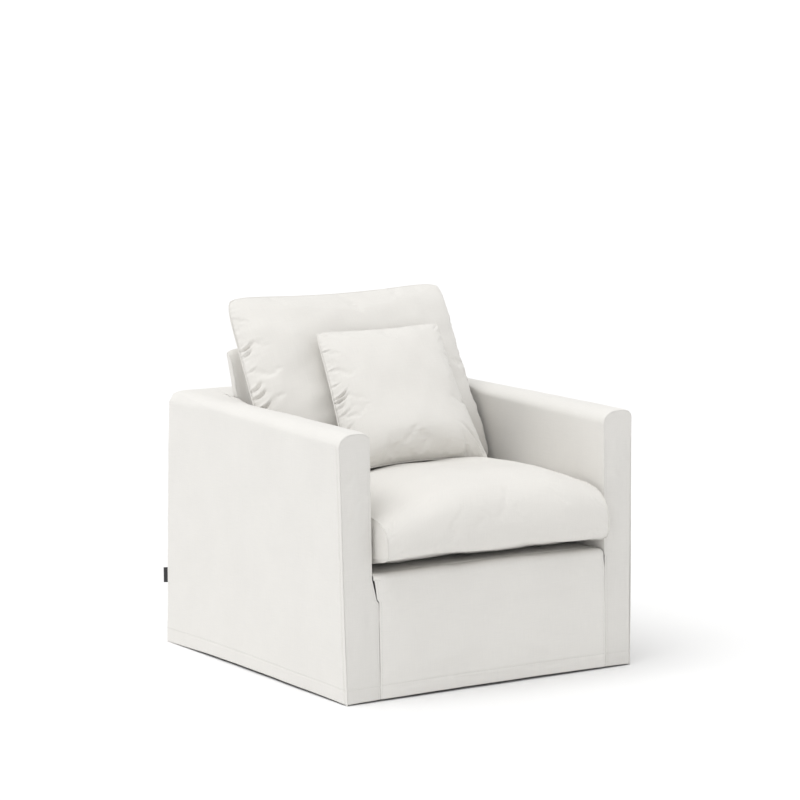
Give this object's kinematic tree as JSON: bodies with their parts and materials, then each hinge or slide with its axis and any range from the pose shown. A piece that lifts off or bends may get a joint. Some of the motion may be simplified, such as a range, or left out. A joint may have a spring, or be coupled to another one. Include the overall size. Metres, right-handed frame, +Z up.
{
  "type": "armchair slipcover with seat, back and scatter cushions",
  "caption": "Fitted floor-length slipcover for a low tub armchair, hollow below, with its loose crowned seat, back and scatter cushions.",
  "frame": {"origin": "middle of the floor rectangle that the whole set covers, on the floor under the hem", "axes": "+Z up, -Y towards the front of the seat, +X to the right as seen from the front"},
  "size_m": [0.8718, 1.0021, 0.9408],
  "materials": {
    "cover_linen": "matt off-white plain-weave linen and cotton",
    "cushion_linen": "matt off-white plain-weave linen and cotton, filled",
    "tag_tape": "matt black woven tape, bare"
  },
  "bodies": {
    "root": {"arm_wrap_left": "cover_linen", "arm_wrap_right": "cover_linen", "arm_front_left": "cover_linen", "arm_front_right": "cover_linen", "front_apron": "cover_linen", "seat_deck": "cover_linen", "outside_back": "cover_linen", "back_bridge": "cover_linen", "hood_wrap": "cover_linen", "hood_end_left": "cover_linen", "hood_end_right": "cover_linen", "seat_cushion": "cushion_linen", "back_cushion": "cushion_linen", "scatter_cushion": "cushion_linen", "side_tag": "tag_tape"}
  },
  "joints": []
}
